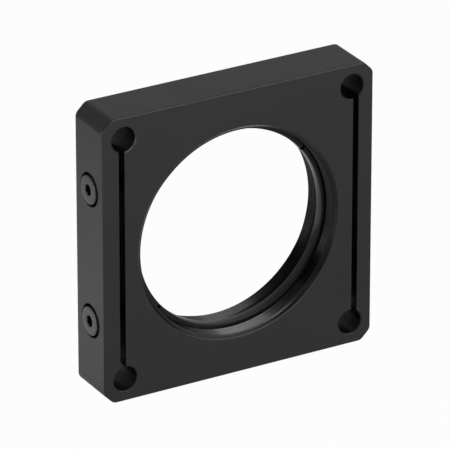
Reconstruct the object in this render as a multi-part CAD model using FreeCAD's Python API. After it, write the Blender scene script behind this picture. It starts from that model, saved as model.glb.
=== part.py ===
"""Optical cage plate: a square plate with a threaded bore that clamps on four guide rods.

Frame: millimetres, +Z up, X across the plate, Y through it with the front face at the lowest Y.
The origin is the centre of the bore at half the thickness.
"""
import FreeCAD, Part
import math
import os

# Threaded bore for the optic, modelled at the thread's major diameter
thread_major_diameter = 51.69
bore_mouth_width = 0.66
bore_mouth_depth = 0.68
bore_mouth_round = 0.3

# Plate around the bore: the rod bores lie on a 60 mm square
thread_to_rod_line = 4.155
rod_line_to_edge = 5.56
plate_thickness = 12.7
corner_chamfer = 2.5
corner_round = 2.0
edge_break = 0.35

# Guide rod bores, one in each corner
rod_diameter = 6.0
rod_clearance = 0.04
rod_mouth_chamfer = 0.22

# Clamp slots: each one joins the upper and the lower rod bore of its side
slot_width = 1.5
left_slot_offset = 0.6
right_slot_offset = 1.0

# Retaining ring, screwed into the bore from the front
ring_fit_clearance = 0.075
ring_width = 1.62
ring_thickness = 2.4
ring_depth = 3.7
ring_thread_chamfer = 0.4
ring_edge_break = 0.3
spanner_slot_width = 0.8
spanner_slot_depth = 1.0
spanner_slot_angle = 39.5

# Clamp screws: low-head socket screws, two on each side
screw_spacing = 33.0
screw_diameter = 3.98
screw_fit_clearance = 0.07
screw_engagement = 5.0
screw_head_diameter = 7.0
screw_head_height = 2.8
screw_head_chamfer = 0.25
screw_tip_chamfer = 0.45
screw_head_proud = 0.35
socket_across_flats = 2.5
socket_depth = 1.7
socket_drill_angle = 60.0
socket_lead_in = 0.04
counterbore_diameter = 8.2
counterbore_edge_break = 0.12
strip_hole_clearance = 0.22
tapped_hole_runout = 0.8

# Blind tapped hole for a post, in the middle of the bottom face
post_thread_diameter = 4.0
post_hole_depth = 6.4
post_mouth_chamfer = 0.3
drill_point_angle = 59.0

rod_pitch = thread_major_diameter + 2 * thread_to_rod_line
plate_side = rod_pitch + 2 * rod_line_to_edge
half_side = plate_side / 2
front_y = -plate_thickness / 2
overshoot = 1.0

X_AXIS = FreeCAD.Vector(1, 0, 0)
Y_AXIS = FreeCAD.Vector(0, 1, 0)
Z_AXIS = FreeCAD.Vector(0, 0, 1)


def turned(profile, origin, axis):
    """Solid of revolution about a line: profile is a closed loop of (distance along, radius)."""
    side = Z_AXIS if abs(axis.z) < 0.5 else X_AXIS
    points = [origin + axis * along + side * radius for along, radius in profile]
    face = Part.Face(Part.makePolygon(points + points[:1]))
    return face.revolve(origin, axis, 360)


def hole_with_mouths(radius, length, mouth_width, mouth_depth, origin, axis):
    """Cutter for a through hole with a cone at both mouths, so much wider and so deep."""
    wide = radius + mouth_width * (mouth_depth + overshoot) / mouth_depth
    profile = [
        (-overshoot, 0), (-overshoot, wide), (mouth_depth, radius),
        (length - mouth_depth, radius), (length + overshoot, wide), (length + overshoot, 0),
    ]
    return turned(profile, origin, axis)


def blind_hole(radius, depth, chamfer, origin, axis):
    """Cutter for a drilled hole with a chamfered mouth and a conical bottom."""
    point = radius / math.tan(math.radians(drill_point_angle))
    profile = [
        (-overshoot, 0), (-overshoot, radius + chamfer + overshoot), (chamfer, radius),
        (depth, radius), (depth + point, 0),
    ]
    return turned(profile, origin, axis)


def rod_centres():
    """Centres of the four rod bores in the plane of the plate."""
    half = rod_pitch / 2
    return [(side * half, level * half) for side in (-1, 1) for level in (-1, 1)]


def slot_centre(side):
    """Distance of a clamp slot from the middle of the plate, -1 for the left side, 1 for the right."""
    offset = left_slot_offset if side < 0 else right_slot_offset
    return rod_pitch / 2 + offset


def screw_levels():
    """Heights of the lower and the upper clamp screw, by name."""
    return {"lower": -screw_spacing / 2, "upper": screw_spacing / 2}


def head_seat():
    """Distance of the seat under a screw head from the middle of the plate."""
    return half_side + screw_head_proud - screw_head_height


def shank_tip(side):
    """Distance of a screw's tip from the middle of the plate."""
    return slot_centre(side) - slot_width / 2 - screw_engagement


def plate_blank():
    """Square block with chamfered corners, soft transitions and broken face edges."""
    block = Part.makeBox(plate_side, plate_thickness, plate_side,
                         FreeCAD.Vector(-half_side, front_y, -half_side))
    corners = [e for e in block.Edges if abs(e.tangentAt(e.FirstParameter).y) > 0.9]
    block = block.makeChamfer(corner_chamfer, corners)
    bends = [e for e in block.Edges if abs(e.tangentAt(e.FirstParameter).y) > 0.9]
    block = block.makeFillet(corner_round, bends)
    rims = [e for e in block.Edges if e.BoundBox.YLength < 1e-6]
    return block.makeFillet(edge_break, rims)


def clamp_slot(side):
    """Cutter for the slot between the two rod bores of one side."""
    centre = side * slot_centre(side)
    corner = FreeCAD.Vector(centre - slot_width / 2, front_y - overshoot, -rod_pitch / 2)
    return Part.makeBox(slot_width, plate_thickness + 2 * overshoot, rod_pitch, corner)


def clamp_screw_hole(side, level):
    """Cutter for one screw: counterbore and clearance hole in the strip, tapped hole behind the slot."""
    inward = X_AXIS * -side
    mouth = FreeCAD.Vector(side * half_side, 0, level)
    seat = half_side - head_seat()
    slot_face = half_side - slot_centre(side)
    sink = counterbore_diameter / 2
    edge = counterbore_edge_break
    pocket = [
        (-overshoot, 0), (-overshoot, sink + edge + overshoot), (edge, sink), (seat, sink), (seat, 0),
    ]
    strip_radius = screw_diameter / 2 + strip_hole_clearance
    strip = [(0, 0), (0, strip_radius), (slot_face, strip_radius), (slot_face, 0)]
    tap_radius = screw_diameter / 2 + screw_fit_clearance
    tap_end = half_side - shank_tip(side) + tapped_hole_runout
    drill_end = tap_end + tap_radius / math.tan(math.radians(drill_point_angle))
    tapped = [(slot_face, 0), (slot_face, tap_radius), (tap_end, tap_radius), (drill_end, 0)]
    cutters = [turned(profile, mouth, inward) for profile in (pocket, strip, tapped)]
    return cutters[0].fuse(cutters[1:])


def cage_plate():
    """Plate with its bore, rod bores, clamp slots, screw holes and post hole."""
    face = FreeCAD.Vector(0, front_y, 0)
    cutters = [hole_with_mouths(thread_major_diameter / 2, plate_thickness,
                                bore_mouth_width, bore_mouth_depth, face, Y_AXIS)]
    rod_radius = rod_diameter / 2 + rod_clearance
    for x, z in rod_centres():
        start = FreeCAD.Vector(x, front_y, z)
        cutters.append(hole_with_mouths(rod_radius, plate_thickness,
                                        rod_mouth_chamfer, rod_mouth_chamfer, start, Y_AXIS))
    for side in (-1, 1):
        cutters.append(clamp_slot(side))
        for level in screw_levels().values():
            cutters.append(clamp_screw_hole(side, level))
    bottom = FreeCAD.Vector(0, 0, -half_side)
    cutters.append(blind_hole(post_thread_diameter / 2, post_hole_depth,
                              post_mouth_chamfer, bottom, Z_AXIS))
    plate = plate_blank().cut(cutters)
    mouth_radius = thread_major_diameter / 2 + bore_mouth_width
    mouths = [e for e in plate.Edges if isinstance(e.Curve, Part.Circle)
              and abs(e.Curve.Radius - mouth_radius) < 1e-4]
    return plate.makeFillet(bore_mouth_round, mouths)


def retaining_ring():
    """Threaded ring with two spanner slots across its front face."""
    outer = thread_major_diameter / 2 - ring_fit_clearance
    inner = outer - ring_width
    soft = ring_edge_break
    lead = ring_thread_chamfer
    length = ring_thickness
    profile = [
        (0, inner + soft), (0, outer - lead), (lead, outer), (length - lead, outer),
        (length, outer - lead), (length, inner + soft), (length - soft, inner), (soft, inner),
    ]
    front = front_y + ring_depth
    ring = turned(profile, FreeCAD.Vector(0, front, 0), Y_AXIS)
    reach = thread_major_diameter + 2 * overshoot
    corner = FreeCAD.Vector(-reach / 2, front - overshoot, -spanner_slot_width / 2)
    slots = Part.makeBox(reach, spanner_slot_depth + overshoot, spanner_slot_width, corner)
    slots.rotate(FreeCAD.Vector(0, 0, 0), Y_AXIS, -spanner_slot_angle)
    return ring.cut(slots)


def hex_socket(top, outward):
    """Cutter for a hexagon socket with a drilled bottom and a turned lead-in, one corner up."""
    corner_radius = socket_across_flats / math.sqrt(3)
    corners = []
    for k in range(6):
        angle = math.radians(60 * k)
        across = Y_AXIS * (corner_radius * math.sin(angle)) + Z_AXIS * (corner_radius * math.cos(angle))
        corners.append(top + outward * overshoot + across)
    hexagon = Part.Face(Part.makePolygon(corners + corners[:1]))
    prism = hexagon.extrude(outward * -(socket_depth + overshoot))
    drill_radius = socket_across_flats / 2
    point = drill_radius / math.tan(math.radians(socket_drill_angle))
    drill = [(socket_depth, 0), (socket_depth, drill_radius), (socket_depth + point, 0)]
    wide = corner_radius + socket_lead_in
    reach = socket_lead_in * 2
    lead = [(-overshoot, 0), (-overshoot, wide), (0, wide), (reach, wide - reach), (reach, 0)]
    return prism.fuse([turned(drill, top, outward * -1), turned(lead, top, outward * -1)])


def clamp_screw(side, level):
    """Low-head socket screw, lying along X with its head outside."""
    outward = X_AXIS * side
    top = FreeCAD.Vector(side * (half_side + screw_head_proud), 0, level)
    head = screw_head_diameter / 2
    shank = screw_diameter / 2
    soft = screw_head_chamfer
    tip = half_side + screw_head_proud - shank_tip(side)
    profile = [
        (0, 0), (0, head - soft), (soft, head), (screw_head_height, head), (screw_head_height, shank),
        (tip - screw_tip_chamfer, shank), (tip, shank - screw_tip_chamfer), (tip, 0),
    ]
    body = turned(profile, top, outward * -1)
    return body.cut(hex_socket(top, outward))


def sub_parts():
    """Every piece by name."""
    pieces = {"cage_plate": cage_plate(), "retaining_ring": retaining_ring()}
    for side, side_name in ((-1, "left"), (1, "right")):
        for level_name, level in screw_levels().items():
            pieces[side_name + "_" + level_name + "_clamp_screw"] = clamp_screw(side, level)
    return pieces


os.makedirs("parts", exist_ok=True)
for name, shape in sub_parts().items():
    solid = shape.Solids[0]
    solid.exportStep("parts/" + name + ".step")
    print(name, "solids", len(shape.Solids), "valid", solid.isValid(), "volume", round(solid.Volume, 2))
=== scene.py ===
"""Optical cage plate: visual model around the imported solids.

Metres, +Z up, front face at the lowest Y. Lengths below are in millimetres until a point is placed.
"""
import math

import bmesh
import bpy
from mathutils import Matrix, Vector


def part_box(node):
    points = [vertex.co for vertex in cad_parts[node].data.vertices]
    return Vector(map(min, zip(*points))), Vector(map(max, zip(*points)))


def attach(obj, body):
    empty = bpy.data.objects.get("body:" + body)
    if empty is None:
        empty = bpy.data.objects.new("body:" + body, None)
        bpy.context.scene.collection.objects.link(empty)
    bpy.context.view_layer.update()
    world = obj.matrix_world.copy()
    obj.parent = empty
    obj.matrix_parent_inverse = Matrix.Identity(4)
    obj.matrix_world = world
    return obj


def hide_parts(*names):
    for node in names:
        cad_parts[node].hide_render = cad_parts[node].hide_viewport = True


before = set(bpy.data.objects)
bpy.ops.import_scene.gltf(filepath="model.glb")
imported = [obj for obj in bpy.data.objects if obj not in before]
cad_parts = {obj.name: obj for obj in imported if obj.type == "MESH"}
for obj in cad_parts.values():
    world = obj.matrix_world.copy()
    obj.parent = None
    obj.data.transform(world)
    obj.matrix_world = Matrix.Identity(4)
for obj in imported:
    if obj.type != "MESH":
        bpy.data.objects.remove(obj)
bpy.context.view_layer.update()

MM = 0.001
X_AXIS = Vector((1.0, 0.0, 0.0))
Y_AXIS = Vector((0.0, 1.0, 0.0))
Z_AXIS = Vector((0.0, 0.0, 1.0))

# Plate
plate_low, plate_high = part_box("cage_plate")
front_y = plate_low[1] / MM
back_y = plate_high[1] / MM
bore_mouth_radius = 26.505
bore_mouth_depth = 0.68

rod_line = 30.0
rod_radius = 3.02

# Band outside the line of the rods that holds the clamp slot of either side, with its walls
slot_band_middle = 0.8
slot_band_half = 1.2

# Thread of the bore, 40 turns per inch
bore_pitch = 0.635
bore_wall_radius = 25.845
bore_valley_radius = 25.82
bore_crest_radius = 25.48
bore_thread_phase = 0.264
bore_start_slope = 6.0
bore_start_lift = 0.02
bore_thread_overlap = 0.05
bore_sleeve_in_wall = 0.06
bore_segments = 288

# Retaining ring
ring_low, ring_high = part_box("retaining_ring")
ring_front = ring_low[1] / MM
ring_back = ring_high[1] / MM
ring_inner_radius = 24.15
ring_crest_radius = 25.765
ring_valley_radius = 25.42
ring_face_radius = 25.37
ring_edge_break = 0.3
spanner_slot_width = 0.8
spanner_slot_depth = 1.0
spanner_slot_angle = 39.5

# Clamp screws, M4 with a low head
screw_pitch = 0.7
screw_crest_radius = 1.985
screw_root_radius = 1.6
screw_head_radius = 3.5
screw_head_height = 2.8
screw_head_round = 0.25
screw_top_loop_radius = 2.4
screw_foot_chamfer = 0.12
screw_neck = 0.45
screw_neck_step = 0.15
screw_neck_radii = (1.95, 1.75)
screw_start_slope = 0.8
screw_tip_radius = 1.53
screw_dish_depth = 0.12
screw_dish_width = 0.5
screw_segments = 96
socket_across_flats = 2.5
socket_depth = 1.7
socket_lead_in = 0.04

# Post hole in the bottom face
post_pitch = 0.7
post_wall_radius = 2.0
post_valley_radius = 1.985
post_crest_radius = 1.65
post_chamfer = 0.3
post_depth = 6.4
post_start_lift = 0.015
post_start_overlap = 0.04
post_end_gap = 0.35
post_fade_length = 0.7
post_fade_slope = 0.6
post_sleeve_in_wall = 0.05
post_segments = 64

# Half widths of a thread's crest and root, as shares of a pitch, in holes and on pieces
hole_thread_flats = (0.125, 0.0625)
outer_thread_flats = (0.0625, 0.12)

# Meshes: the angle in degrees above which edges stay sharp, and in metres what counts as no length
sharp_angle = 24
weld_distance = 2e-7
shortest_edge = 1e-7

# Greys of the black anodised plate, linear
plate_greys = (0.0150, 0.0185)
# Paler broken edges, partly edge wear and partly a painted highlight along them
edge_wear_and_highlight_grey = 0.032
# The bore mouth's chamfer: painted shade low down, a paler painted highlight near the top
mouth_shade_grey = 0.006
mouth_highlight_grey = 0.075
# Painted shade inside the clamp slots
slot_shade_grey = 0.005
# Painted shade on the walls of the rod bores
rod_wall_shade_grey = 0.007
# Painted highlight at the lower right of the rod mouths
rod_glint_grey = 0.42
# Paler colour on the front flanks of the bore's thread, a painted highlight
thread_flank_highlight_grey = 0.010

# Depth from which the bore's thread is glossy, and height above which the mouth takes a paler painted
# highlight
gloss_depth = 0.95
mouth_highlight_height = 14.0

# Stage: the floor lies a hair under the plate, so that the two never share a plane
floor_gap = 0.02
floor_level = plate_low[2] - floor_gap * MM
floor_half_side = 4.0
floor_grey = 0.86
floor_white_share = 0.975
world_grey = 0.04
brightest_level = 1.25

# Lamps: place in metres, width and height, and power
lamps = {
    "key_lamp": ((0.37, -0.826, 0.4226), (0.5, 0.2), 0.61),
    "front_lamp": ((0.0, -0.95, 0.1), (0.4, 0.4), 0.25),
    "fill_lamp": ((0.25, -0.82, 0.44), (0.4, 0.4), 0.125),
    "high_lamp": ((0.3, -0.5, 0.8), (0.5, 0.5), 0.11),
    "corner_lamp": ((-0.55, -0.6, 0.57), (0.25, 0.25), 0.15),
    "left_lamp": ((-0.9, 0.0, 0.15), (0.4, 0.3), 2.73),
    "low_lamp": ((0.3, -0.8, 0.05), (0.6, 0.1), 2.5),
}

# Camera: angles in degrees, lens and sensor in millimetres
camera_yaw = -29.878
camera_pitch = 24.987
camera_distance = 1309.7
camera_right = -0.192
camera_up = -0.411
camera_lens = 455.94
camera_sensor = 36.0


# Meshes

def axis_frame(origin, axis):
    """Origin and three directions: two across the axis, the first one up where it can be, and the axis."""
    first = X_AXIS if abs(axis.z) > 0.5 else Z_AXIS
    return origin, first, axis.cross(first), axis


def at(value, angle):
    """A number, or a function of the angle, worked out at an angle."""
    return value(angle) if callable(value) else value


def place(place_frame, along, radius, angle):
    """Point at a distance along the axis, a radius and an angle, in metres."""
    origin, first, second, axis = place_frame
    across = first * math.cos(angle) + second * math.sin(angle)
    return (origin + axis * along + across * radius) * MM


def loop(mesh, place_frame, along, radius, segments):
    """Closed loop of vertices round the axis."""
    angles = [math.tau * k / segments for k in range(segments)]
    return [mesh.verts.new(place(place_frame, at(along, a), at(radius, a), a)) for a in angles]


def bridge(mesh, one, other):
    """Quads between two loops of the same length."""
    count = len(one)
    for k in range(count):
        after = (k + 1) % count
        mesh.faces.new((one[k], one[after], other[after], other[k]))


def lathe(mesh, place_frame, profile, segments):
    """Loops for each (along, radius) of a profile, bridged in order. Returns the first and the last loop."""
    loops = [loop(mesh, place_frame, along, radius, segments) for along, radius in profile]
    for one, other in zip(loops, loops[1:]):
        bridge(mesh, one, other)
    return loops[0], loops[-1]


def point_cap(mesh, place_frame, rim, along):
    """Triangles from a loop to one point on the axis."""
    tip = mesh.verts.new(place(place_frame, along, 0.0, 0.0))
    for k, vertex in enumerate(rim):
        mesh.faces.new((vertex, rim[(k + 1) % len(rim)], tip))


def thread(mesh, place_frame, span, pitch, phase, strands, limit, segments):
    """Right-handed helical surface between two places on the axis.

    strands are (share of a pitch, radius) across one turn, and limit trims a radius by its place.
    """
    start, end = span
    turns = math.ceil((end - start) / pitch) + 2
    shift = math.floor((start - phase) / pitch) - 1
    grid = []
    for turn in range(turns + 1):
        for share, radius in strands:
            row = []
            for k in range(segments):
                along = phase + pitch * (shift + turn + share + k / segments)
                kept = min(max(along, start), end)
                angle = math.tau * k / segments
                vertex = mesh.verts.new(place(place_frame, kept, limit(kept, radius), angle))
                row.append((vertex, along))
            grid.append(row)
    width = len(strands)
    for i in range(len(grid) - width - 1):
        for k in range(segments):
            if k + 1 < segments:
                corners = (grid[i][k], grid[i + 1][k], grid[i + 1][k + 1], grid[i][k + 1])
            else:
                corners = (grid[i][k], grid[i + 1][k], grid[i + 1 + width][0], grid[i + width][0])
            places = [along for _, along in corners]
            if max(places) > start and min(places) < end:
                mesh.faces.new([vertex for vertex, _ in corners])


def ridge(flats, crest, root):
    """Strands of a 60 degree ridge.

    They are its flat crest at share 0, a mid point on each flank, and the flat root.
    """
    middle = (crest + root) / 2
    half_crest, half_root = flats
    flank = (half_crest + 0.5 - half_root) / 2
    return [
        (-half_crest, crest), (half_crest, crest), (flank, middle),
        (0.5 - half_root, root), (0.5 + half_root, root), (1 - flank, middle),
    ]


def finish_mesh(mesh, name):
    """Welds a mesh, turns its faces outwards and makes it an object."""
    bmesh.ops.remove_doubles(mesh, verts=mesh.verts, dist=weld_distance)
    bmesh.ops.dissolve_degenerate(mesh, edges=mesh.edges, dist=shortest_edge)
    loose = [v for v in mesh.verts if not v.link_faces]
    bmesh.ops.delete(mesh, geom=loose, context="VERTS")
    bmesh.ops.recalc_face_normals(mesh, faces=mesh.faces)
    data = bpy.data.meshes.new(name)
    mesh.to_mesh(data)
    mesh.free()
    shade(data)
    made = bpy.data.objects.new(name, data)
    bpy.context.scene.collection.objects.link(made)
    return made


def shade(data):
    """Smooth shading that keeps the sharp edges."""
    data.shade_smooth()
    data.set_sharp_from_angle(angle=math.radians(sharp_angle))


def dress(piece, body, slot, material, *nodes):
    """Puts a piece on its body with its finish, for the CAD nodes that it stands for."""
    piece.data.materials.clear()
    piece.data.materials.append(material)
    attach(piece, body)
    if nodes:
        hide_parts(*nodes)


# Shader sheets

class Wire:
    """A shader socket that stands in Python sums. Each operator adds one Math node."""

    def __init__(self, sheet, socket):
        self.sheet = sheet
        self.socket = socket

    def math(self, operation, *values):
        return self.sheet.node("ShaderNodeMath", {"operation": operation}, dict(enumerate(values)))

    def __add__(self, other):
        return self.math("ADD", self, other)

    __radd__ = __add__

    def __mul__(self, other):
        return self.math("MULTIPLY", self, other)

    __rmul__ = __mul__

    def __sub__(self, other):
        return self.math("SUBTRACT", self, other)

    def __rsub__(self, other):
        return self.math("SUBTRACT", other, self)

    def __pow__(self, other):
        return self.math("POWER", self, other)

    def __abs__(self):
        return self.math("ABSOLUTE", self)

    def most(self, other):
        return self.math("MAXIMUM", self, other)

    def least(self, other):
        return self.math("MINIMUM", self, other)


class Sheet:
    """The node tree of one material or of the world."""

    def __init__(self, owner):
        owner.use_nodes = True
        self.tree = owner.node_tree
        self.tree.nodes.clear()

    def node(self, kind, settings=None, values=None, output=0):
        """Adds a node: its settings first, then the values or links of its sockets."""
        made = self.tree.nodes.new(kind)
        for key, value in (settings or {}).items():
            setattr(made, key, value)
        for key, value in (values or {}).items():
            if isinstance(value, Wire):
                self.tree.links.new(value.socket, made.inputs[key])
            else:
                made.inputs[key].default_value = value
        return Wire(self, made.outputs[output]) if made.outputs else made

    def mix(self, share, first, second):
        """Colour between two colours."""
        return self.node("ShaderNodeMix", {"data_type": "RGBA"}, {0: share, 6: first, 7: second}, 2)

    def noise(self, place_wire, scale, detail=2.0, roughness=0.5):
        """Soft noise from 0 to 1, scale in features per millimetre."""
        values = {"Vector": place_wire, "Scale": scale, "Detail": detail, "Roughness": roughness}
        return self.node("ShaderNodeTexNoise", None, values, "Fac")

    def lines(self, place_wire, scale, detail=3.0):
        """Noise along one direction only, such as the marks that a lathe leaves."""
        values = {"W": place_wire, "Scale": scale, "Detail": detail, "Roughness": 0.6}
        return self.node("ShaderNodeTexNoise", {"noise_dimensions": "1D"}, values, "Fac")

    def millimetres(self):
        """Place on the piece, in millimetres, as a vector."""
        place_wire = self.node("ShaderNodeTexCoord", None, None, "Object")
        scale = {"operation": "SCALE"}
        return self.node("ShaderNodeVectorMath", scale, {0: place_wire, "Scale": 1 / MM})

    def parts(self, vector):
        """The three numbers of a vector."""
        split = self.node("ShaderNodeSeparateXYZ", None, {0: vector})
        outputs = split.socket.node.outputs
        return [Wire(self, outputs[k]) for k in range(3)]

    def tilt(self):
        """1 on faces that look along Y, 0 on faces that lie along it."""
        normal = self.node("ShaderNodeTexCoord", None, None, "Normal")
        return abs(self.parts(normal)[1])

    def bump(self, height, strength, depth):
        """Normal from a height, depth in millimetres."""
        values = {"Height": height, "Strength": strength, "Distance": depth * MM}
        return self.node("ShaderNodeBump", None, values, "Normal")

    def surface(self, **values):
        """Principled shader wired to the output, with socket names written with underscores."""
        sockets = {name.replace("_", " "): value for name, value in values.items()}
        shader = self.node("ShaderNodeBsdfPrincipled", None, sockets)
        self.node("ShaderNodeOutputMaterial", None, {"Surface": shader})


def clamped(wire):
    """A number kept from 0 to 1."""
    return wire.least(1.0).most(0.0)


def grey(level):
    """Neutral colour of a linear level."""
    return (level, level, level, 1.0)


def new_sheet(name):
    """A new material and its sheet."""
    material = bpy.data.materials.new(name)
    return material, Sheet(material)


def ramp(wire, zero, slope):
    """0 at a place and past it on one side, and 1 from a distance of 1 / slope on the other."""
    return clamped((wire - zero) * slope)


def distance(one, other):
    """Length of a vector in two numbers."""
    return (one * one + other * other) ** 0.5


def anodised_material():
    """Matt black anodised aluminium with a fine even grain.

    Broken edges are smoother and a little paler, partly worn and partly a painted highlight. Slots and rod
    bores are darker, painted shade; the bore mouth has painted shade low down and a paler painted highlight
    near the top; and the lower right of each rod mouth has a painted highlight.
    """
    material, sheet = new_sheet("black_anodised")
    spot = sheet.millimetres()
    cloud = sheet.noise(spot, 0.06, 3.0)
    grain = sheet.noise(spot, 3.6, 2.0, 0.6)
    x, y, z = sheet.parts(spot)
    tilt = sheet.tilt()
    along = 1.0 - tilt
    side_x = abs(x) - rod_line
    side_z = abs(z) - rod_line
    from_rod = distance(side_x, side_z)
    # Faces that lean between the front and the sides: broken edges, bore mouths and rod mouths.
    broken = (tilt * along * 8.0).least(1.0)
    mouth = broken * ramp(distance(x, z), bore_mouth_radius - 0.02, -8.0)
    rim = broken - mouth
    rod_mouth = rim * ramp(from_rod, rod_radius + 0.6, -8.0)
    rod_wall = along * ramp(from_rod, rod_radius + 0.1, -20.0)
    between_rods = ramp(abs(z), rod_line, -4.0)
    slot = along * between_rods * ramp(abs(side_x - slot_band_middle), slot_band_half, -20.0)
    tone = (cloud - 0.5) * 0.5 + (grain - 0.5) * 0.35 + 0.5
    dark, light = plate_greys
    plain = sheet.mix(tone, grey(dark), grey(light))
    # Broken edges a little paler: partly wear, partly a painted highlight
    edged = sheet.mix(rim * 0.35, plain, grey(edge_wear_and_highlight_grey))
    # Bore mouth: painted shade low down, turning to a paler painted highlight towards the top
    upper = ramp(z, mouth_highlight_height, 0.12)
    mouth_shade_and_highlight = sheet.mix(upper, grey(mouth_shade_grey), grey(mouth_highlight_grey))
    mouthed = sheet.mix(mouth, edged, mouth_shade_and_highlight)
    # Painted shade on the walls of the clamp slots
    slotted = sheet.mix(slot, mouthed, grey(slot_shade_grey))
    # Painted shade on the walls of the rod bores
    bored = sheet.mix(rod_wall, slotted, grey(rod_wall_shade_grey))
    # Painted highlight at the lower right of each rod mouth
    colour = sheet.mix(rod_mouth * rod_mouth_glint(sheet, x, z), bored, grey(rod_glint_grey))
    gloss = rim * 0.07 + mouth * (clamped(z * 0.06) * 0.14 + 0.1) + slot * 0.2
    rough = 0.43 + (cloud - 0.5) * 0.07 + (grain - 0.5) * 0.08 - gloss
    normal = sheet.bump(grain, 0.22, 0.02)
    sheet.surface(Base_Color=colour, Roughness=rough, Normal=normal,
                  Metallic=slot * 0.45, Specular_IOR_Level=0.5)
    return material


def rod_mouth_glint(sheet, x, z):
    """Painted highlight on the lower right of each rod mouth.

    It is brightest at the upper left bore and broken into spots.
    """
    right = clamped(x * 1000.0) * 2.0 - 1.0
    upper = clamped(z * 1000.0) * 2.0 - 1.0
    across = x - right * rod_line
    along = z - upper * rod_line
    lower_right = clamped((across - along) * (0.707 / rod_radius) * 2.2 - 1.45)
    upper_left = clamped(z * 10.0) * clamped(x * -10.0)
    spots = sheet.noise(sheet.millimetres(), 1.3, 2.0)
    return lower_right * (upper_left * 0.6 + 0.07) * clamped(spots * 2.0 - 0.2)


def turned_material(name, greys, roughness, line_depth, specular, threaded=False):
    """Black anodised over lathe marks, which run round the bore's axis.

    A thread is glossy on its flanks, most of all in front of the ring, and dull on its crests and roots. Its
    flanks in front are also paler, a painted highlight.
    """
    material, sheet = new_sheet(name)
    spot = sheet.millimetres()
    x, y, z = sheet.parts(spot)
    lines = sheet.lines(distance(x, z) + y * 1.3, 9.0)
    cloud = sheet.noise(spot, 0.16, 3.0)
    tone = (cloud - 0.5) * 0.6 + (lines - 0.5) * 0.5 + 0.5
    dark, light = greys
    colour = sheet.mix(tone, grey(dark), grey(light))
    rough = roughness + (cloud - 0.5) * 0.08 + (lines - 0.5) * 0.08
    coat = 0.0
    dull = 0.0
    if threaded:
        inner = ramp(y, front_y + gloss_depth, 6.0)
        flank = inner * ramp(sheet.tilt(), 0.35, 4.0)
        front = clamped(y * -1.0)
        # Front flanks paler: painted highlight
        colour = sheet.mix(flank * front, colour, grey(thread_flank_highlight_grey))
        rough = rough + (1.0 - flank) * 0.16
        coat = flank * (front * 0.9 + 0.1)
        dull = (inner - flank) * (front * 0.4 + 0.5)
    normal = sheet.bump(lines, 0.35, line_depth)
    sheet.surface(Base_Color=colour, Roughness=rough, Normal=normal, Specular_IOR_Level=specular,
                  Metallic=dull, Coat_Weight=coat, Coat_Roughness=0.16)
    return material


def steel_material():
    """Black oxide on steel: a dark metal with faint blotches and turned heads."""
    material, sheet = new_sheet("black_oxide_steel")
    spot = sheet.millimetres()
    blotch = sheet.noise(spot, 1.1, 4.0, 0.6)
    grain = sheet.noise(spot, 7.0, 2.0)
    tone = (blotch - 0.5) * 1.8 + (grain - 0.5) * 0.6 + 0.5
    colour = sheet.mix(tone, grey(0.078), grey(0.118))
    rough = 0.40 + (blotch - 0.5) * 0.12
    normal = sheet.bump(grain, 0.18, 0.012)
    sheet.surface(Base_Color=colour, Roughness=rough, Normal=normal, Metallic=0.85)
    return material


def socket_shade_material():
    """Black oxide inside the sockets, darker as painted shade, and duller."""
    material, sheet = new_sheet("black_oxide_in_socket_shade")
    spot = sheet.millimetres()
    blotch = sheet.noise(spot, 2.2, 4.0, 0.6)
    colour = sheet.mix(blotch, grey(0.004), grey(0.010))
    rough = 0.5 + (blotch - 0.5) * 0.2
    normal = sheet.bump(blotch, 0.2, 0.01)
    sheet.surface(Base_Color=colour, Roughness=rough, Normal=normal, Specular_IOR_Level=0.2)
    return material


# Pieces

def bore_thread(material):
    """Internal thread of the bore: a sleeve just inside the plate's wall, which starts steeply."""
    hidden = bore_wall_radius + bore_sleeve_in_wall

    def limit(along, radius):
        inside = min(along - front_y, back_y - along)
        start = bore_wall_radius + bore_start_lift - (inside - bore_mouth_depth) * bore_start_slope
        return min(max(radius, start), hidden)

    middle = axis_frame(Vector(), Y_AXIS)
    ends = bore_mouth_depth - bore_thread_overlap
    span = (front_y + ends, back_y - ends)
    strands = ridge(hole_thread_flats, bore_crest_radius, bore_valley_radius)
    mesh = bmesh.new()
    thread(mesh, middle, span, bore_pitch, bore_thread_phase, strands, limit, bore_segments)
    lathe(mesh, middle, [(span[0], hidden), (span[1], hidden)], bore_segments)
    made = finish_mesh(mesh, "bore_thread")
    dress(made, "plate", "anodised_plate", material)


def retaining_ring(material):
    """Threaded ring with two spanner slots, in step with the bore's thread."""
    middle = axis_frame(Vector(), Y_AXIS)
    span = (ring_front, ring_back)

    def limit(along, radius):
        inside = min(along - ring_front, ring_back - along)
        return min(radius, ring_face_radius + inside)

    strands = ridge(outer_thread_flats, ring_crest_radius, ring_valley_radius)
    phase = bore_thread_phase + bore_pitch / 2
    mesh = bmesh.new()
    thread(mesh, middle, span, bore_pitch, phase, strands, limit, bore_segments)
    rounding = quarter_round(ring_edge_break, [0.0, 0.3, 0.62, 1.0])
    front = [(ring_front + a, ring_inner_radius + r) for a, r in rounding]
    back = [(ring_back - a, ring_inner_radius + r) for a, r in reversed(rounding)]
    profile = [(ring_front, ring_face_radius)] + front + back + [(ring_back, ring_face_radius)]
    lathe(mesh, middle, profile, bore_segments)
    made = finish_mesh(mesh, "retaining_ring_threaded")
    cut_spanner_slots(made)
    dress(made, "ring", "anodised_ring", material, "retaining_ring")


def quarter_round(size, shares):
    """Points (along, radius) of a quarter circle that rounds an edge, for shares of its turn from 0 to 1."""
    turns = [share * math.pi / 2 for share in shares]
    return [(size * (1 - math.cos(turn)), size * (1 - math.sin(turn))) for turn in turns]


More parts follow.
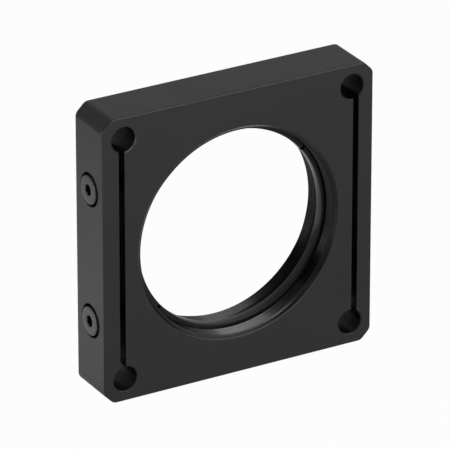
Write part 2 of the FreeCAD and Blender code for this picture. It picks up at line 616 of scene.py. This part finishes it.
def cut_spanner_slots(ring):
    """Cuts one slot straight across the ring's front face."""
    mesh = bmesh.new()
    bmesh.ops.create_cube(mesh, size=1.0)
    reach = 2 * bore_mouth_radius
    height = spanner_slot_depth * 2
    size = Vector((reach, height, spanner_slot_width)) * MM
    bmesh.ops.scale(mesh, vec=size, verts=mesh.verts)
    turn = Matrix.Rotation(-math.radians(spanner_slot_angle), 4, "Y")
    shift = Matrix.Translation(Vector((0.0, ring_front, 0.0)) * MM)
    bmesh.ops.transform(mesh, matrix=shift @ turn, verts=mesh.verts)
    data = bpy.data.meshes.new("spanner_slot")
    mesh.to_mesh(data)
    mesh.free()
    cutter = bpy.data.objects.new("spanner_slot", data)
    bpy.context.scene.collection.objects.link(cutter)
    cut = ring.modifiers.new("slots", "BOOLEAN")
    cut.operation = "DIFFERENCE"
    cut.solver = "EXACT"
    cut.object = cutter
    seen = ring.evaluated_get(bpy.context.evaluated_depsgraph_get())
    carved = bpy.data.meshes.new_from_object(seen)
    ring.modifiers.clear()
    ring.data = carved
    bpy.data.objects.remove(cutter)
    bpy.data.meshes.remove(data)
    shade(carved)


def hexagon_radius(angle):
    """Distance from the middle of the socket to its wall, with one corner at angle 0."""
    sector = math.tau / 6
    off = angle % sector - sector / 2
    return socket_across_flats / 2 / math.cos(off)


def clamp_screw(name, body, node, material, socket_shade_look):
    """Low-head socket screw with a rolled thread, its socket's lead-in and its drilled bottom."""
    low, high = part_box(node)
    side = -1 if low[0] < 0 else 1
    outer = max(abs(low[0]), abs(high[0])) / MM
    length = (high[0] - low[0]) / MM
    level = (low[2] + high[2]) / 2 / MM
    # Distances run from the head's top inwards.
    screw_frame = axis_frame(Vector((side * outer, 0.0, level)), X_AXIS * -side)
    wide = socket_across_flats / math.sqrt(3) + socket_lead_in
    drill = socket_across_flats / 2
    foot = screw_head_height
    neck_end = foot + screw_neck
    wide_neck, narrow_neck = screw_neck_radii
    shares = [k / 4 for k in range(5)]
    rounded = [(a, screw_head_radius - r) for a, r in quarter_round(screw_head_round, shares)]
    socket = [
        (socket_depth, drill), (socket_depth, hexagon_radius),
        (lambda angle: wide - hexagon_radius(angle), hexagon_radius), (0.0, wide), (0.0, wide + 0.03),
        (0.0, screw_top_loop_radius),
    ]
    outside = [
        (foot - screw_foot_chamfer, screw_head_radius), (foot, screw_head_radius - screw_foot_chamfer),
        (foot, wide_neck), (foot + screw_neck_step, narrow_neck), (neck_end, screw_root_radius),
    ]
    mesh = bmesh.new()
    bottom, _ = lathe(mesh, screw_frame, socket + rounded + outside, screw_segments)
    point_cap(mesh, screw_frame, bottom, socket_depth + drill / math.sqrt(3))

    def limit(along, radius):
        start = screw_root_radius + (along - neck_end) * screw_start_slope
        return min(radius, start, screw_tip_radius + length - along)

    strands = ridge(outer_thread_flats, screw_crest_radius, screw_root_radius)
    thread(mesh, screw_frame, (neck_end, length), screw_pitch, 0.0, strands, limit, screw_segments)
    dish_end = length - screw_dish_depth
    tip = [(length, screw_tip_radius), (dish_end, screw_tip_radius - screw_dish_width)]
    _, dish = lathe(mesh, screw_frame, tip, screw_segments)
    point_cap(mesh, screw_frame, dish, dish_end)
    made = finish_mesh(mesh, name)
    dress(made, body, "black_steel", material, node)
    # The socket's walls and bottom take the darker finish of painted shade.
    made.data.materials.append(socket_shade_look)
    for face in made.data.polygons:
        spot = face.center / MM
        depth = outer - side * spot.x
        inside = math.hypot(spot.y, spot.z - level) < wide
        wall = abs(face.normal.x) < 0.3 or depth > socket_depth - 0.1
        face.material_index = int(inside and wall and depth < screw_head_height)


def post_thread(material):
    """Internal thread of the post hole in the bottom face."""
    bottom = axis_frame(Vector((0.0, 0.0, plate_low[2] / MM)), Z_AXIS)
    hidden = post_wall_radius + post_sleeve_in_wall
    span = (post_chamfer - post_start_overlap, post_depth - post_end_gap)
    fade_start = span[1] - post_fade_length

    def limit(along, radius):
        start = post_wall_radius + post_start_lift + post_chamfer - along
        faded = radius + max(0.0, along - fade_start) * post_fade_slope
        return min(max(faded, start), hidden)

    strands = ridge(hole_thread_flats, post_crest_radius, post_valley_radius)
    mesh = bmesh.new()
    thread(mesh, bottom, span, post_pitch, 0.0, strands, limit, post_segments)
    lathe(mesh, bottom, [(span[0], hidden), (span[1], hidden)], post_segments)
    made = finish_mesh(mesh, "post_hole_thread")
    dress(made, "plate", "anodised_plate", material)


# Stage

def seen_rays(sheet):
    """Two switches: rays that show the background itself, and those that see it by reflection."""
    path = sheet.node("ShaderNodeLightPath")
    outputs = path.socket.node.outputs
    kinds = ("Camera", "Transmission", "Glossy")
    camera, through, glossy = [Wire(sheet, outputs["Is " + kind + " Ray"]) for kind in kinds]
    return camera.most(through), glossy


def level_colour(sheet, level):
    """Grey of a level that is itself a wire."""
    return sheet.mix(level * (1 / brightest_level), grey(0.0), grey(brightest_level))


def make_floor():
    """Wide pale floor, white with the object's faint shadow."""
    half = floor_half_side
    corners = [(-half, -half), (half, -half), (half, half), (-half, half)]
    data = bpy.data.meshes.new("floor")
    data.from_pydata([(x, y, floor_level) for x, y in corners], [], [(0, 1, 2, 3)])
    floor = bpy.data.objects.new("floor", data)
    bpy.context.scene.collection.objects.link(floor)
    material, sheet = new_sheet("pale_floor")
    pale = sheet.node("ShaderNodeBsdfPrincipled", None,
                      {"Base Color": grey(floor_grey), "Roughness": 0.9, "Specular IOR Level": 0.0})
    x, y, _ = sheet.parts(sheet.node("ShaderNodeTexCoord", None, None, "Object"))
    shown, mirrored = seen_rays(sheet)
    # In reflections the floor is bright behind the object, mostly at its two sides, and dim in front of it.
    behind = clamped(y * 80.0 + 0.5)
    reach = distance(x, y)
    pool = clamped(1.5 - reach * 5.0) * clamped(2.2 - x * 40.0)
    sides = clamped(abs(x + 0.008) * 32.0 - 0.35)
    back_level = pool * (sides * 0.3 + 0.36) + 0.06
    near = clamped(1.0 - reach * 4.5)
    far_left = clamped(x * -20.0 - 0.6)
    front_level = near * (clamped(x * 5.0 + 0.3) * 0.16 + 0.15) + far_left * 0.45
    level = behind * back_level + (1.0 - behind) * front_level
    glow = sheet.node("ShaderNodeEmission", None, {"Color": level_colour(sheet, level * mirrored)})
    white = sheet.node("ShaderNodeEmission", None, {"Color": grey(1.0)})
    white_share = shown * floor_white_share
    plain = sheet.node("ShaderNodeMixShader", None, {0: white_share, 1: pale, 2: white})
    both = sheet.node("ShaderNodeAddShader", None, {0: plain, 1: glow})
    # From below the floor is clear, so that the underside can be looked at.
    below = sheet.node("ShaderNodeNewGeometry", None, None, "Backfacing")
    clear = sheet.node("ShaderNodeBsdfTransparent")
    sided = sheet.node("ShaderNodeMixShader", None, {0: below, 1: both, 2: clear})
    sheet.node("ShaderNodeOutputMaterial", None, {"Surface": sided})
    data.materials.append(material)


def make_world():
    """White for the background. In reflections, walls behind the object and a tall one at the front right."""
    world = bpy.data.worlds.new("studio")
    bpy.context.scene.world = world
    sheet = Sheet(world)
    x, y, z = sheet.parts(sheet.node("ShaderNodeTexCoord", None, None, "Generated"))
    shown, mirrored = seen_rays(sheet)
    behind = clamped(y * 2.5 + 0.5)
    right = clamped(x * 2.5 + 0.5)
    high = clamped(z * 5.0 - 1.0)
    walls = behind * (right * 0.2 + 0.33) + (1.0 - behind) * right * high * 0.94
    reflected = sheet.mix(mirrored, grey(world_grey), level_colour(sheet, walls))
    colour = sheet.mix(shown, reflected, grey(1.0))
    shader = sheet.node("ShaderNodeBackground", None, {"Color": colour, "Strength": 1.0})
    sheet.node("ShaderNodeOutputWorld", None, {"Surface": shader})


def soft_lamp(name, spot, size, power):
    """Area lamp that faces the middle of the plate."""
    data = bpy.data.lights.new(name, "AREA")
    data.shape = "RECTANGLE"
    data.size, data.size_y = size
    data.energy = power
    lamp = bpy.data.objects.new(name, data)
    lamp.location = spot
    lamp.rotation_euler = (-Vector(spot)).to_track_quat("-Z", "Y").to_euler()
    bpy.context.scene.collection.objects.link(lamp)


def make_camera():
    """Camera of the photograph: from the left, a little above, with a very long lens."""
    yaw = math.radians(camera_yaw)
    pitch = math.radians(camera_pitch)
    level = Vector((-math.sin(yaw), math.cos(yaw), 0.0))
    ahead = level * math.cos(pitch) - Z_AXIS * math.sin(pitch)
    right = Vector((math.cos(yaw), math.sin(yaw), 0.0))
    up = level * math.sin(pitch) + Z_AXIS * math.cos(pitch)
    spot = (ahead * -camera_distance + right * camera_right + up * camera_up) * MM
    data = bpy.data.cameras.new("camera")
    data.sensor_width = camera_sensor
    data.lens = camera_lens
    data.clip_start = 0.01
    data.clip_end = 50.0
    camera = bpy.data.objects.new("camera", data)
    turn = Matrix((right, up, -ahead)).transposed().to_4x4()
    camera.matrix_world = Matrix.Translation(spot) @ turn
    bpy.context.scene.collection.objects.link(camera)
    bpy.context.scene.camera = camera


make_camera()
make_world()
make_floor()
for lamp_name, (lamp_spot, lamp_size, lamp_power) in lamps.items():
    soft_lamp(lamp_name, lamp_spot, lamp_size, lamp_power)
bpy.context.scene.view_settings.view_transform = "Standard"

plate_finish = anodised_material()
# The thread's and the ring's greys are darker than the plate's: painted shade inside the bore
thread_finish = turned_material("anodised_thread", (0.003, 0.006), roughness=0.16, line_depth=0.006,
                                specular=0.46, threaded=True)
ring_finish = turned_material("anodised_turned", (0.006, 0.009), roughness=0.22, line_depth=0.010,
                              specular=0.42)
steel_finish = steel_material()
socket_wall_shade = socket_shade_material()

plate_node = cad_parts["cage_plate"]
for material_slot in plate_node.material_slots:
    material_slot.material = plate_finish

bore_thread(thread_finish)
retaining_ring(ring_finish)
post_thread(thread_finish)
for side_name in ("left", "right"):
    for level_name in ("upper", "lower"):
        place_name = side_name + "_" + level_name
        clamp_screw(place_name + "_cap_screw", place_name + "_screw", place_name + "_clamp_screw",
                    steel_finish, socket_wall_shade)
